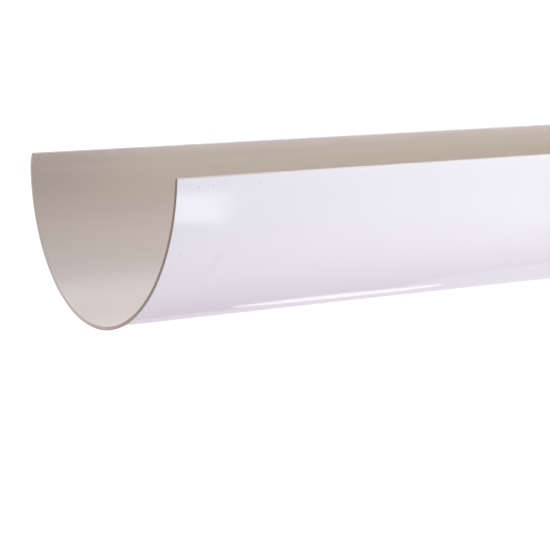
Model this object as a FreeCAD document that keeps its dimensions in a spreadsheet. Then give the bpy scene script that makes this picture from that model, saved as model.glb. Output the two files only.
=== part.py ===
"""Deep half-elliptical rainwater gutter section: one extruded length of PVC-U, open at the top.

Frame: X runs along the length, Y across from the front edge (-Y) to the rear edge (+Y), +Z is up.
The origin is under the middle of the length, on the line that the gutter rests on.
The front edge is plain.  The rear edge is turned in a little, so that its bracket hooks over it.
"""
import FreeCAD
import Part
import Sketcher
import math
import os

Vector = FreeCAD.Vector

# Driving dimensions, mm: alias, value, what it is.
DIMENSIONS = [
    ("gutter_width", 115.0, "outside width of the half-ellipse"),
    ("gutter_depth", 75.0, "outside depth, from the rims to the underside"),
    ("wall_thickness", 1.7, "extruded wall"),
    ("stock_length", 2000.0, "length as sold"),
    ("return_height", 8.0, "how far below the rim the rear edge starts to turn in"),
    ("return_radius", 17.0, "outside radius of the turned-in rear edge"),
    ("rim_rounding", 0.38, "radius of the long rim corners, as a share of the wall"),
]

doc = FreeCAD.newDocument("gutter_section")

# ---------------------------------------------------------------- spreadsheet
sheet = doc.addObject("Spreadsheet::Sheet", "dims")
for row, (alias, value, note) in enumerate(DIMENSIONS, start=1):
    sheet.set("A%d" % row, note)
    sheet.set("B%d" % row, str(value))
    sheet.setAlias("B%d" % row, alias)
doc.recompute()

half_width = float(sheet.gutter_width) / 2
depth = float(sheet.gutter_depth)
wall = float(sheet.wall_thickness)
return_height = float(sheet.return_height)
return_radius = float(sheet.return_radius)


def section_side(inset):
    """The two curves of one side of the wall, and where they meet the rims.

    Sketch x runs across and sketch y is height.  The wall is half an ellipse centred on the rim plane.
    Its rear leaves the ellipse at the shoulder, where an arc tangent to it turns the edge in.
    """
    across = half_width - inset
    down = depth - inset
    radius = return_radius - inset
    shoulder_out = across * math.sqrt(1 - (return_height / down) ** 2)
    shoulder = Vector(shoulder_out, depth - return_height, 0)
    inward = Vector(-shoulder_out / across ** 2, return_height / down ** 2, 0).normalize()
    turn = shoulder + inward * radius
    front = Vector(-across, depth, 0)
    rear = Vector(turn.x + math.sqrt(radius ** 2 - (depth - turn.y) ** 2), depth, 0)

    ellipse = Part.Ellipse(Vector(0, inset, 0), Vector(across, depth, 0), Vector(0, depth, 0))
    circle = Part.Circle(turn, Vector(0, 0, 1), radius)
    wall_curve = Part.ArcOfEllipse(ellipse, ellipse.parameter(front), ellipse.parameter(shoulder))
    return_curve = Part.ArcOfCircle(circle, circle.parameter(shoulder), circle.parameter(rear))
    return wall_curve, return_curve, front, rear


# ---------------------------------------------------------------- section sketch on the YZ plane
body = doc.addObject("PartDesign::Body", "gutter")
body.Label = "gutter"
section_plane = next(plane for plane in body.Origin.OriginFeatures if plane.Role == "YZ_Plane")
section = body.newObject("Sketcher::SketchObject", "section")
section.AttachmentSupport = [(section_plane, "")]
section.MapMode = "FlatFace"

outer_curve, outer_turn, outer_front, outer_rear = section_side(0)
inner_curve, inner_turn, inner_front, inner_rear = section_side(wall)
outer_wall = section.addGeometry(outer_curve)
inner_wall = section.addGeometry(inner_curve)
outer_return = section.addGeometry(outer_turn)
inner_return = section.addGeometry(inner_turn)
front_rim = section.addGeometry(Part.LineSegment(outer_front, inner_front))
rear_rim = section.addGeometry(Part.LineSegment(outer_rear, inner_rear))

# Each ellipse brings in its long and short axes as construction lines, which carry its size.
outer_upright = section.GeometryCount
outer_across = outer_upright + 1
section.exposeInternalGeometry(outer_wall)
inner_upright = section.GeometryCount
inner_across = inner_upright + 1
section.exposeInternalGeometry(inner_wall)

START, END, CENTRE = range(1, 4)        # places on a curve, as the sketcher numbers them
ORIGIN, UPRIGHT_AXIS = range(-1, -3, -1)    # the sketch's own origin and vertical axis


def tie(kind, *places):
    """A geometric constraint."""
    section.addConstraint(Sketcher.Constraint(kind, *places))


def dimension(name, kind, places, value, formula):
    """A named dimension that follows the spreadsheet."""
    index = section.addConstraint(Sketcher.Constraint(kind, *places, value))
    section.renameConstraint(index, name)
    section.setExpression("Constraints.%s" % name, formula)


# Both ellipses share a centre on the upright axis, at the height of the rims.
tie("PointOnObject", outer_wall, CENTRE, UPRIGHT_AXIS)
tie("Coincident", inner_wall, CENTRE, outer_wall, CENTRE)
tie("Vertical", outer_upright)
tie("Vertical", inner_upright)
dimension("centre_height", "DistanceY", (ORIGIN, START, outer_wall, CENTRE), depth, "dims.gutter_depth")
dimension("outer_depth", "Distance", (outer_upright,), 2 * depth, "2 * dims.gutter_depth")
dimension("outer_width", "Distance", (outer_across,), 2 * half_width, "dims.gutter_width")
dimension("inner_depth", "Distance", (inner_upright,), 2 * (depth - wall),
          "2 * (dims.gutter_depth - dims.wall_thickness)")
dimension("inner_width", "Distance", (inner_across,), 2 * (half_width - wall),
          "dims.gutter_width - 2 * dims.wall_thickness")

# The front edge is plain, square to the wall.
tie("Coincident", front_rim, START, outer_wall, START)
tie("Coincident", front_rim, END, inner_wall, START)
tie("Horizontal", front_rim)
dimension("front_height", "DistanceY", (ORIGIN, START, front_rim, START), depth, "dims.gutter_depth")

# The rear edge turns in, tangent to the wall on both faces.
tie("Tangent", outer_wall, END, outer_return, START)
tie("Tangent", inner_wall, END, inner_return, START)
tie("Horizontal", outer_wall, END, inner_wall, END)
tie("Coincident", rear_rim, START, outer_return, END)
tie("Coincident", rear_rim, END, inner_return, END)
tie("Horizontal", rear_rim)
dimension("rear_height", "DistanceY", (ORIGIN, START, rear_rim, START), depth, "dims.gutter_depth")
dimension("shoulder_height", "DistanceY", (ORIGIN, START, outer_wall, END), depth - return_height,
          "dims.gutter_depth - dims.return_height")
dimension("outer_radius", "Radius", (outer_return,), return_radius, "dims.return_radius")
dimension("inner_radius", "Radius", (inner_return,), return_radius - wall,
          "dims.return_radius - dims.wall_thickness")
doc.recompute()

# ---------------------------------------------------------------- extruded length
length = body.newObject("PartDesign::Pad", "length")
length.Profile = section
length.SideType = "Symmetric"
length.setExpression("Length", "dims.stock_length")
doc.recompute()

# ---------------------------------------------------------------- rounded rims
# Both corners of each rim run the whole length at the height of the rims.
rim_edges = ["Edge%d" % number for number, edge in enumerate(length.Shape.Edges, start=1)
             if edge.BoundBox.XLength > half_width and edge.BoundBox.ZMin > depth - wall / 2]
rims = body.newObject("PartDesign::Fillet", "rims")
rims.Base = (length, rim_edges)
rims.setExpression("Radius", "dims.rim_rounding * dims.wall_thickness")
body.Tip = rims
doc.recompute()

# ---------------------------------------------------------------- checks and STEP file
if len(rim_edges) != 4:
    raise RuntimeError("expected 4 rim corners, found %d" % len(rim_edges))
for item in doc.Objects:
    if "Invalid" in item.State or "Error" in item.State:
        raise RuntimeError("%s did not rebuild: %s" % (item.Name, item.State))
for item in (section, length, rims, body):
    if item.Shape.isNull() or not item.Shape.isValid():
        raise RuntimeError("%s has no valid shape" % item.Name)
if len(body.Shape.Solids) != 1:
    raise RuntimeError("the gutter is not one solid")

os.makedirs("parts", exist_ok=True)
body.Shape.exportStep("parts/gutter.step")
box = body.Shape.optimalBoundingBox()
print("gutter", "volume %.0f mm3" % body.Shape.Volume,
      "box %.1f x %.1f x %.1f mm" % (box.XLength, box.YLength, box.ZLength))
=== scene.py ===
# A length of deep half-elliptical rainwater gutter, lying on a studio floor with its open top up.
import bpy
import math
from mathutils import Euler, Matrix, Vector


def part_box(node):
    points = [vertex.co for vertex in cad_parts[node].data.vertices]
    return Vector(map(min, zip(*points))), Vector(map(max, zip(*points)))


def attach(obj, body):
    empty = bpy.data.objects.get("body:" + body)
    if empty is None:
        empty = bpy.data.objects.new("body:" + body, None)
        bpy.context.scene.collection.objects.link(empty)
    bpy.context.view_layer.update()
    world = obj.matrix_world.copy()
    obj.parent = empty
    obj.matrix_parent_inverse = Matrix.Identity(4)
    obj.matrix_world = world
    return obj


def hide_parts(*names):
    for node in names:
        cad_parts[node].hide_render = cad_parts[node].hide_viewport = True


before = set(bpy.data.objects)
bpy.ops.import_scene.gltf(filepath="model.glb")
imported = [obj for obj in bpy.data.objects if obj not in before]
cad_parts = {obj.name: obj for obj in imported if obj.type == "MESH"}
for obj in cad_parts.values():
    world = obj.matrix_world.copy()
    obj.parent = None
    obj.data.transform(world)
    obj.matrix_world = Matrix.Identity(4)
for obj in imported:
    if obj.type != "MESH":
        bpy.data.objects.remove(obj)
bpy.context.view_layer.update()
bpy.ops.object.select_all(action="DESELECT")

low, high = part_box("gutter")
halfLength = high[0]
halfWidth = -low[1]
depth = high[2]


# a shader socket that can be added, subtracted and multiplied
class Wire:
    def __init__(self, tree, socket):
        self.tree = tree
        self.socket = socket

    def calc(self, operation, first, second):
        node = self.tree.nodes.new("ShaderNodeMath")
        node.operation = operation
        for inlet, value in zip(node.inputs, (first, second)):
            if isinstance(value, Wire):
                self.tree.links.new(value.socket, inlet)
            else:
                inlet.default_value = value
        return Wire(self.tree, node.outputs[0])

    def __add__(self, other):
        return self.calc("ADD", self, other)

    def __sub__(self, other):
        return self.calc("SUBTRACT", self, other)

    def __rsub__(self, other):
        return self.calc("SUBTRACT", other, self)

    def __mul__(self, other):
        return self.calc("MULTIPLY", self, other)

    __radd__ = __add__
    __rmul__ = __mul__


# a material and the nodes that feed its shader
class Finish:
    def __init__(self, name):
        self.material = bpy.data.materials.new(name)
        self.material.use_nodes = True
        self.tree = self.material.node_tree
        self.shader = self.tree.nodes["Principled BSDF"]
        self.place = self.node("ShaderNodeTexCoord", output="Object")

    # one node: its own settings first, then a value or a wire for each socket it names
    def node(self, kind, settings=None, sockets=None, output=0):
        made = self.tree.nodes.new(kind)
        for setting, value in (settings or {}).items():
            setattr(made, setting, value)
        for inlet, value in (sockets or {}).items():
            self.feed(made.inputs[inlet], value)
        return Wire(self.tree, made.outputs[output])

    def feed(self, inlet, value):
        if isinstance(value, Wire):
            self.tree.links.new(value.socket, inlet)
        else:
            inlet.default_value = value

    def set(self, **sockets):
        for name, value in sockets.items():
            self.feed(self.shader.inputs[name.replace("_", " ")], value)

    # how far along X, Y or Z
    def axis(self, letter):
        return self.node("ShaderNodeSeparateXYZ", sockets={"Vector": self.place}, output=letter)

    # noise between 0 and 1, stretched or squeezed along each axis
    def noise(self, perMetre, detail=2, seed=0.0):
        at = self.node("ShaderNodeMapping",
                       sockets={"Vector": self.place, "Location": (seed, seed, seed), "Scale": perMetre})
        return self.node("ShaderNodeTexNoise", sockets={"Vector": at, "Scale": 1.0, "Detail": detail})

    # 1 at a place on the piece, down to 0 at the radius
    def spot(self, place, radius):
        away = self.node("ShaderNodeVectorMath", {"operation": "DISTANCE"}, {0: self.place, 1: place},
                         output="Value")
        return self.step(away, radius, radius / 4)

    # scattered dots, the fewer and smaller the farther their seeds lie from the skin
    def flecks(self, perMetre, radius):
        away = self.node("ShaderNodeTexVoronoi", sockets={"Vector": self.place, "Scale": perMetre},
                         output="Distance")
        return self.step(away, radius * perMetre, radius * perMetre / 2)

    # 0 at the first level, 1 at the second, eased between them
    def step(self, value, start, end):
        return self.node("ShaderNodeMapRange", {"interpolation_type": "SMOOTHSTEP"},
                         {"Value": value, "From Min": start, "From Max": end})

    def blend(self, amount, first, second):
        return self.node("ShaderNodeMix", {"data_type": "RGBA"}, {0: amount, 6: first, 7: second}, output=2)

    def bump(self, height, millimetres):
        return self.node("ShaderNodeBump", sockets={"Height": height, "Distance": millimetres / 1000})


# how often each pattern in the plastic comes in a metre: along, across and up
patterns = {"cloud": (3, 14, 14), "sheen": (2, 60, 60), "dieLines": (0.6, 900, 900), "peel": (260, 260, 260),
            "scuffs": (9, 1400, 1400), "scuffedPlaces": (5, 20, 20), "smudge": (220, 220, 220),
            # on this line, the sawn ends' pattern wavers the edge of their painted shade
            "streaks": (1.5, 320, 320), "endShade": (0, 120, 120), "sawMarks": (0, 200, 2600)}
# the levels of noise between which each of them comes in
levels = {"cloud": (0.35, 0.8), "scuffs": (0.62, 0.75), "scuffedPlaces": (0.5, 0.7), "smudge": (0.3, 0.65),
          "streaks": (0.52, 0.8)}

# outside: glossy white, a few flecks under the skin, a fingered smudge near the left end
whiteSkin = {"color": (0.84, 0.82, 0.862, 1), "worn": (0.80, 0.772, 0.82, 1),
             "fleck": (0.42, 0.385, 0.41, 1), "smudge": (0.775, 0.743, 0.794, 1),
             "roughness": 0.12, "sheenSwing": 0.04, "scuffRoughness": 0.08,
             "fleckSize": 0.0004, "flecksPerMetre": 42, "smudgeAmount": 0.7, "smudgeSeed": 3.0,
             "dieLineRelief": 0.6, "peelRelief": 0.4, "scuffRelief": 0.3, "relief": 0.01,    # in millimetres
             # places from the left end, across and up, and each smudge's radius
             "flecks": ((0.0121, -0.0574, 0.0707), (0.0198, -0.0574, 0.0707), (0.0460, -0.0574, 0.0706),
                        (0.0906, -0.0457, 0.0295), (0.0851, -0.0384, 0.0191), (0.0074, -0.0510, 0.0403)),
             "smudges": ((0.0296, -0.0498, 0.0375, 0.0040), (0.0276, -0.0480, 0.0335, 0.0045))}


def outsideFinish():
    skin = Finish("outside skin")
    cloud = skin.step(skin.noise(patterns["cloud"], detail=3), *levels["cloud"])
    scuffs = skin.step(skin.noise(patterns["scuffs"]), *levels["scuffs"])
    scuffs = scuffs * skin.step(skin.noise(patterns["scuffedPlaces"]), *levels["scuffedPlaces"])
    flecks = skin.flecks(whiteSkin["flecksPerMetre"], whiteSkin["fleckSize"])
    for x, y, z in whiteSkin["flecks"]:
        flecks = flecks + skin.spot((x - halfLength, y, z), whiteSkin["fleckSize"])
    smudge = 0
    for x, y, z, radius in whiteSkin["smudges"]:
        smudge = skin.spot((x - halfLength, y, z), radius) * whiteSkin["smudgeAmount"] + smudge
    fingered = skin.noise(patterns["smudge"], seed=whiteSkin["smudgeSeed"])
    smudge = smudge * skin.step(fingered, *levels["smudge"])

    color = skin.blend(cloud, whiteSkin["color"], whiteSkin["worn"])
    color = skin.blend(smudge, color, whiteSkin["smudge"])
    color = skin.blend(flecks, color, whiteSkin["fleck"])
    sheen = skin.noise(patterns["sheen"]) * whiteSkin["sheenSwing"] + whiteSkin["roughness"]
    skin.set(Base_Color=color, Roughness=sheen + scuffs * whiteSkin["scuffRoughness"])
    height = skin.noise(patterns["dieLines"], detail=3) * whiteSkin["dieLineRelief"]
    height = height + skin.noise(patterns["peel"]) * whiteSkin["peelRelief"]
    height = height + flecks - scuffs * whiteSkin["scuffRelief"]
    skin.set(Normal=skin.bump(height, whiteSkin["relief"]))
    return skin.material


# inside: satin grey, drawn into long faint streaks; paler at the rims in painted light, and darker near the
# left end in painted shade
greyInside = {"color": (0.64, 0.565, 0.495, 1), "worn": (0.60, 0.525, 0.46, 1),
              # the rim colour and its band of heights are painted light: the top of the inside walls and the
              # rims made paler
              "streak": (0.655, 0.58, 0.51, 1), "rim": (0.652, 0.588, 0.575, 1), "rimBand": (0.066, 0.077),
              # painted shade: a darker patch of the inside near the left end, with its length from the end
              # and its band of heights
              "leftEndShade": (0.55, 0.468, 0.43, 1), "leftEndShadeLength": 0.088, "leftEndShadeBand": (0.048, 0.065),
              "roughness": 0.31, "sheenSwing": 0.08, "streakRoughness": 0.06,
              "fleckSize": 0.0004, "flecksPerMetre": 60, "relief": 0.01}


def insideFinish():
    skin = Finish("inside skin")
    along, up = skin.axis("X"), skin.axis("Z")
    cloud = skin.step(skin.noise(patterns["cloud"], detail=3), *levels["cloud"])
    streaks = skin.noise(patterns["streaks"], detail=3)
    flecks = skin.flecks(greyInside["flecksPerMetre"], greyInside["fleckSize"])
    # painted shade darkening the inside near the left end, between two heights
    leftEndShade = skin.step(along, greyInside["leftEndShadeLength"] - halfLength, -halfLength)
    leftEndShade = leftEndShade * skin.step(up, *greyInside["leftEndShadeBand"])

    color = skin.blend(cloud, greyInside["color"], greyInside["worn"])
    color = skin.blend(skin.step(streaks, *levels["streaks"]), color, greyInside["streak"])
    color = skin.blend(flecks, color, greyInside["worn"])
    # painted light: a paler band along the top of the inside walls and over the rims
    color = skin.blend(skin.step(up, *greyInside["rimBand"]), color, greyInside["rim"])
    # the painted shade near the left end
    color = skin.blend(leftEndShade, color, greyInside["leftEndShade"])
    sheen = skin.noise(patterns["sheen"]) * greyInside["sheenSwing"] + greyInside["roughness"]
    skin.set(Base_Color=color, Roughness=sheen + streaks * greyInside["streakRoughness"])
    skin.set(Normal=skin.bump(skin.noise(patterns["dieLines"], detail=3), greyInside["relief"]))
    return skin.material


# sawn ends: paler at the rear, darker brown towards the front in painted shade
sawnEnd = {"endRear": (0.84, 0.74, 0.67, 1), "endShaded": (0.46, 0.365, 0.325, 1), "endShade": (0.056, -0.032),
           "endShadeWander": 0.03, "roughness": 0.45, "markRoughness": 0.2, "relief": 0.03}


def cutFinish():
    cut = Finish("sawn end")
    # painted shade: the end darkens from the rear towards the front, along a wavering edge
    across = cut.axis("Y") + cut.noise(patterns["endShade"]) * sawnEnd["endShadeWander"]
    endShade = cut.step(across, *sawnEnd["endShade"])
    sawMarks = cut.noise(patterns["sawMarks"])
    cut.set(Base_Color=cut.blend(endShade, sawnEnd["endRear"], sawnEnd["endShaded"]),
            Roughness=sawMarks * sawnEnd["markRoughness"] + sawnEnd["roughness"])
    cut.set(Normal=cut.bump(sawMarks, sawnEnd["relief"]))
    return cut.material


# the gutter, in metres
section = {"wall": 0.0017, "returnHeight": 0.008, "returnRadius": 0.017, "rimRounding": 0.00061,
           "arris": 0.00012, "sides": 192, "returnSteps": 12, "bays": 40, "rimSteps": 4, "arrisSteps": 2,
           "smoothBelow": 35, "endNormal": 0.7, "mergeWithin": 1e-6, "sameWithin": 1e-5}
insideSlot, cutSlot = 1, 2    # the gutter's materials, after the outside


# selects the vertices, edges or faces that a test chooses
def pick(kind, choose):
    bpy.ops.mesh.select_mode(type=kind)
    bpy.ops.mesh.select_all(action="DESELECT")
    bpy.ops.object.mode_set(mode="OBJECT")
    mesh = bpy.context.object.data
    for part in {"VERT": mesh.vertices, "EDGE": mesh.edges, "FACE": mesh.polygons}[kind]:
        part.select = choose(part)
    bpy.ops.object.mode_set(mode="EDIT")
    bpy.ops.mesh.select_mode(type=kind)


def same(first, second):
    return abs(first - second) < section["sameWithin"]


def runsAlongRim(edge):
    start, end = (bpy.context.object.data.vertices[i].co for i in edge.vertices)
    return same(start.z, depth) and same(end.z, depth) and not same(start.x, end.x)


# tells the sawn ends from the long walls
def facesAnEnd(face):
    return abs(face.normal.x) > section["endNormal"]


def drawSection(shoulder):
    # half an ellipse standing across the left end
    bpy.ops.mesh.primitive_circle_add(vertices=section["sides"], radius=1, location=(-halfLength, 0, depth),
                                      rotation=(math.pi / 2, 0, math.pi / 2))
    gutter = bpy.context.object
    gutter.name = "gutterWall"
    gutter.scale = (halfWidth, depth, 1)
    bpy.ops.object.transform_apply(location=True, rotation=True, scale=True)
    bpy.ops.object.mode_set(mode="EDIT")
    bpy.ops.mesh.select_mode(type="VERT")
    bpy.ops.mesh.select_all(action="SELECT")
    bpy.ops.mesh.bisect(plane_co=(0, 0, depth), plane_no=(0, 0, 1), clear_outer=True)

    # the rear edge above its shoulder is cut away
    pick("VERT", lambda vertex: vertex.co.y > 0 and vertex.co.z > shoulder - section["returnHeight"])
    bpy.ops.mesh.bisect(plane_co=(0, 0, shoulder), plane_no=(0, 0, 1), clear_outer=True)
    return gutter


def buildGutter():
    wallSize, turnRadius = section["wall"], section["returnRadius"]
    shoulder = depth - section["returnHeight"]
    gutter = drawSection(shoulder)

    # from there it turns in along an arc that leaves the ellipse smoothly
    out = halfWidth * math.sqrt(1 - (section["returnHeight"] / depth) ** 2)
    lean = math.atan2(section["returnHeight"] / depth ** 2, out / halfWidth ** 2)
    turnY = out - turnRadius * math.cos(lean)
    turnZ = shoulder + turnRadius * math.sin(lean)
    rise = math.asin((depth - turnZ) / turnRadius)
    pick("VERT", lambda vertex: vertex.co.y > 0 and same(vertex.co.z, shoulder))
    bpy.ops.mesh.spin(steps=section["returnSteps"], angle=-lean - rise, center=(-halfLength, turnY, turnZ),
                      axis=(1, 0, 0))

    # drawn out to its length, a bay at a time
    bpy.ops.mesh.select_all(action="SELECT")
    bpy.ops.mesh.remove_doubles(threshold=section["mergeWithin"])
    bay = 2 * halfLength / section["bays"]
    for _ in range(section["bays"]):
        bpy.ops.mesh.extrude_region_move(TRANSFORM_OT_translate={"value": (bay, 0, 0)})
    bpy.ops.mesh.select_all(action="SELECT")
    bpy.ops.mesh.normals_make_consistent(inside=False)
    bpy.ops.object.mode_set(mode="OBJECT")
    lowest = min(gutter.data.polygons, key=lambda face: face.center.z)
    if lowest.normal.z > 0:    # the underside has to look down
        bpy.ops.object.mode_set(mode="EDIT")
        bpy.ops.mesh.flip_normals()
        bpy.ops.object.mode_set(mode="OBJECT")

    # the wall grows inwards, with the grey inside on its second skin
    for finish in (outsideFinish(), insideFinish(), cutFinish()):
        gutter.data.materials.append(finish)
    wall = gutter.modifiers.new("wall", "SOLIDIFY")
    wall.thickness = wallSize
    wall.offset = -1
    wall.use_even_offset = True
    wall.material_offset = insideSlot
    wall.material_offset_rim = cutSlot
    bpy.ops.object.modifier_apply(modifier="wall")

    # rims brought level, then rounded along both corners
    bpy.ops.object.mode_set(mode="EDIT")
    pick("FACE", lambda face: face.material_index == cutSlot and not facesAnEnd(face))
    bpy.ops.transform.resize(value=(1, 1, 0), center_override=(0, 0, depth))
    innerSide = turnY + turnRadius * math.cos(rise) - wallSize / 2
    pick("VERT", lambda vertex: same(vertex.co.z, depth) and 0 < vertex.co.y < innerSide)
    bpy.ops.transform.translate(value=(0, -wallSize * math.sin(rise) * math.tan(rise), 0))
    pick("EDGE", runsAlongRim)
    bpy.ops.mesh.bevel(offset=section["rimRounding"], segments=section["rimSteps"], affect="EDGES")

    # the arrises of the sawn ends are taken off
    pick("FACE", facesAnEnd)
    bpy.ops.mesh.region_to_loop()
    bpy.ops.mesh.bevel(offset=section["arris"], segments=section["arrisSteps"], affect="EDGES")
    bpy.ops.object.mode_set(mode="OBJECT")
    # the rounded rims, their outer corners too, take the grey inside finish: on the outer corner this is
    # painted shade, darker than the white skin
    for face in gutter.data.polygons:
        if face.center.z > depth - section["rimRounding"] and not facesAnEnd(face):
            face.material_index = insideSlot
    bpy.ops.object.shade_smooth_by_angle(angle=math.radians(section["smoothBelow"]))
    shading = gutter.modifiers.new("flat walls beside the rounded rims", "WEIGHTED_NORMAL")
    shading.keep_sharp = True
    bpy.ops.object.modifier_apply(modifier=shading.name)
    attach(gutter, "root")
    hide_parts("gutter")
    print("gutter wall:", len(gutter.data.polygons), "faces")


buildGutter()


# the studio: a pale floor whose bounce fades to nothing beyond the left end
studio = {"floorSize": 60, "floorColor": (0.05, 0.05, 0.05, 1), "floorRoughness": 0.9, "seen": (1, 1, 1, 1),
          "bounceBeyond": (0.0, 0.0, 0.0, 1), "bounceNear": (0.572, 0.505, 0.545, 1),
          "bounceRight": (0.605, 0.552, 0.580, 1),
          "shadeEdge": (-0.12, 0.0), "brighter": (0.02, 0.25),    # from the left end
          "air": (1, 1, 1, 1), "airStrength": 0.1}


def layFloor():
    bpy.ops.mesh.primitive_plane_add(size=studio["floorSize"], location=(0, 0, 0))
    floor = bpy.context.object
    floor.name = "studioFloor"
    paper = Finish("white floor")
    fromEnd = paper.axis("X") + halfLength
    lit = paper.step(fromEnd, *studio["shadeEdge"])
    bounce = paper.blend(lit, studio["bounceBeyond"], studio["bounceNear"])
    bounce = paper.blend(paper.step(fromEnd, *studio["brighter"]), bounce, studio["bounceRight"])
    seen = paper.node("ShaderNodeLightPath", output="Is Camera Ray")
    glow = paper.blend(seen, bounce, studio["seen"])    # white to look at, dimmer in the light it throws back
    paper.set(Base_Color=studio["floorColor"], Roughness=studio["floorRoughness"],
              Emission_Color=glow, Emission_Strength=1.0)
    floor.data.materials.append(paper.material)


# faint light from all round, with the view past the floor's edge kept white
def fillAir():
    world = bpy.data.worlds.new("studio air")
    world.use_nodes = True
    tree = world.node_tree
    air = tree.nodes["Background"]
    air.inputs["Color"].default_value = studio["air"]
    air.inputs["Strength"].default_value = studio["airStrength"]
    backdrop = tree.nodes.new("ShaderNodeBackground")
    backdrop.inputs["Color"].default_value = studio["seen"]
    seen = tree.nodes.new("ShaderNodeLightPath")
    either = tree.nodes.new("ShaderNodeMixShader")
    tree.links.new(seen.outputs["Is Camera Ray"], either.inputs["Fac"])
    tree.links.new(air.outputs["Background"], either.inputs[1])
    tree.links.new(backdrop.outputs["Background"], either.inputs[2])
    tree.links.new(either.outputs["Shader"], tree.nodes["World Output"].inputs["Surface"])
    bpy.context.scene.world = world
    bpy.context.scene.view_settings.view_transform = "Standard"


# sizes in metres, power in watts
softboxes = {
    "overheadSoftbox": {"place": (-0.5, 0.2, 2.5), "aim": (-0.7, 0, 0), "size": (1.6, 1.2),
                        "power": 72.7, "color": (0.825, 0.876, 1.0)},
    "sideSoftbox": {"place": (1.6, -2.2, 1.6), "aim": (-0.7, 0, 0), "size": (1.8, 1.8),
                    "power": 35.5, "color": (1.0, 0.908, 0.872)},
    "frontSoftbox": {"place": (1.0, -2.9, 0.17), "aim": (-0.7, 0, 0.05), "size": (3.2, 0.32),
                     "power": 55.5, "color": (0.80, 0.924, 1.0)},
    "lowSoftbox": {"place": (-0.2, -1.0, 0.2), "aim": (-0.75, 0, 0.05), "size": (0.6, 0.25),
                   "power": 3.56, "color": (0.983, 1.0, 0.914)},
    "rearSoftbox": {"place": (-2.4, 0.9, 0.5), "aim": (-halfLength, 0, 0.04), "size": (0.8, 0.6),
                    "power": 12.5, "color": (1.0, 0.93, 0.9)}}
gleams = {
    "stripPanel": {"place": (-0.871, -0.0233, 0.0006), "size": (0.134, 0.0035), "power": 0.00195},
    "edgePanel": {"place": (-0.866, -0.0189, 0.0005), "size": (0.30, 0.0056), "power": 0.0017},
    "underPanel": {"place": (0, -0.0136, 0.0004), "size": (2.0, 0.0132), "power": 0.11,
                   "turn": -0.25, "shape": "RECTANGLE"},
    "fillPanel": {"place": (-0.66, -0.0265, 0.0005), "size": (0.34, 0.016), "power": 0.0054},
    "squarePanel": {"place": (-0.9045, -0.2404, 0.0006), "size": (0.182, 0.132), "power": 0.2,
                    "turn": 126, "shape": "RECTANGLE"}}


def addLight(name, place, size, power, color=(1, 1, 1), aim=(0, 0, 0), shape="RECTANGLE"):
    bpy.ops.object.light_add(type="AREA", location=place)
    lamp = bpy.context.object
    lamp.name = name
    lamp.data.shape = shape
    lamp.data.size, lamp.data.size_y = size
    lamp.data.energy = power
    lamp.data.color = color
    lamp.rotation_euler = (lamp.location - Vector(aim)).to_track_quat("Z", "Y").to_euler()
    return lamp


# a panel lying face up on the floor, that shows only as a gleam in the glossy skin
def addGleam(name, place, size, power, turn=0, shape="ELLIPSE"):
    panel = addLight(name, place, size, power, shape=shape)
    panel.rotation_euler = (math.pi, 0, math.radians(turn))
    panel.visible_camera = False
    panel.visible_diffuse = False


# angles in degrees: to the right of straight ahead, down, and tipped to one side
eye = {"place": (-halfLength - 0.6533, -0.9329, 0.2031), "heading": 38.997, "down": 8.807, "roll": 1.50,
       "lens": 166.7, "sees": (0.01, 200)}


def placeCamera():
    camera = bpy.data.objects.new("camera", bpy.data.cameras.new("camera"))
    bpy.context.scene.collection.objects.link(camera)
    camera.data.lens = eye["lens"]
    camera.data.clip_start, camera.data.clip_end = eye["sees"]
    turn = Euler((math.radians(90 - eye["down"]), 0, math.radians(-eye["heading"]))).to_matrix()
    turn = turn @ Matrix.Rotation(math.radians(eye["roll"]), 3, "Z")
    camera.matrix_world = Matrix.LocRotScale(eye["place"], turn.to_quaternion(), (1, 1, 1))
    bpy.context.scene.camera = camera


layFloor()
fillAir()
for name, softbox in softboxes.items():
    addLight(name, **softbox)
for name, gleam in gleams.items():
    addGleam(name, **gleam)
placeCamera()
print("studio:", len(softboxes), "softboxes,", len(gleams), "gleams and the camera")
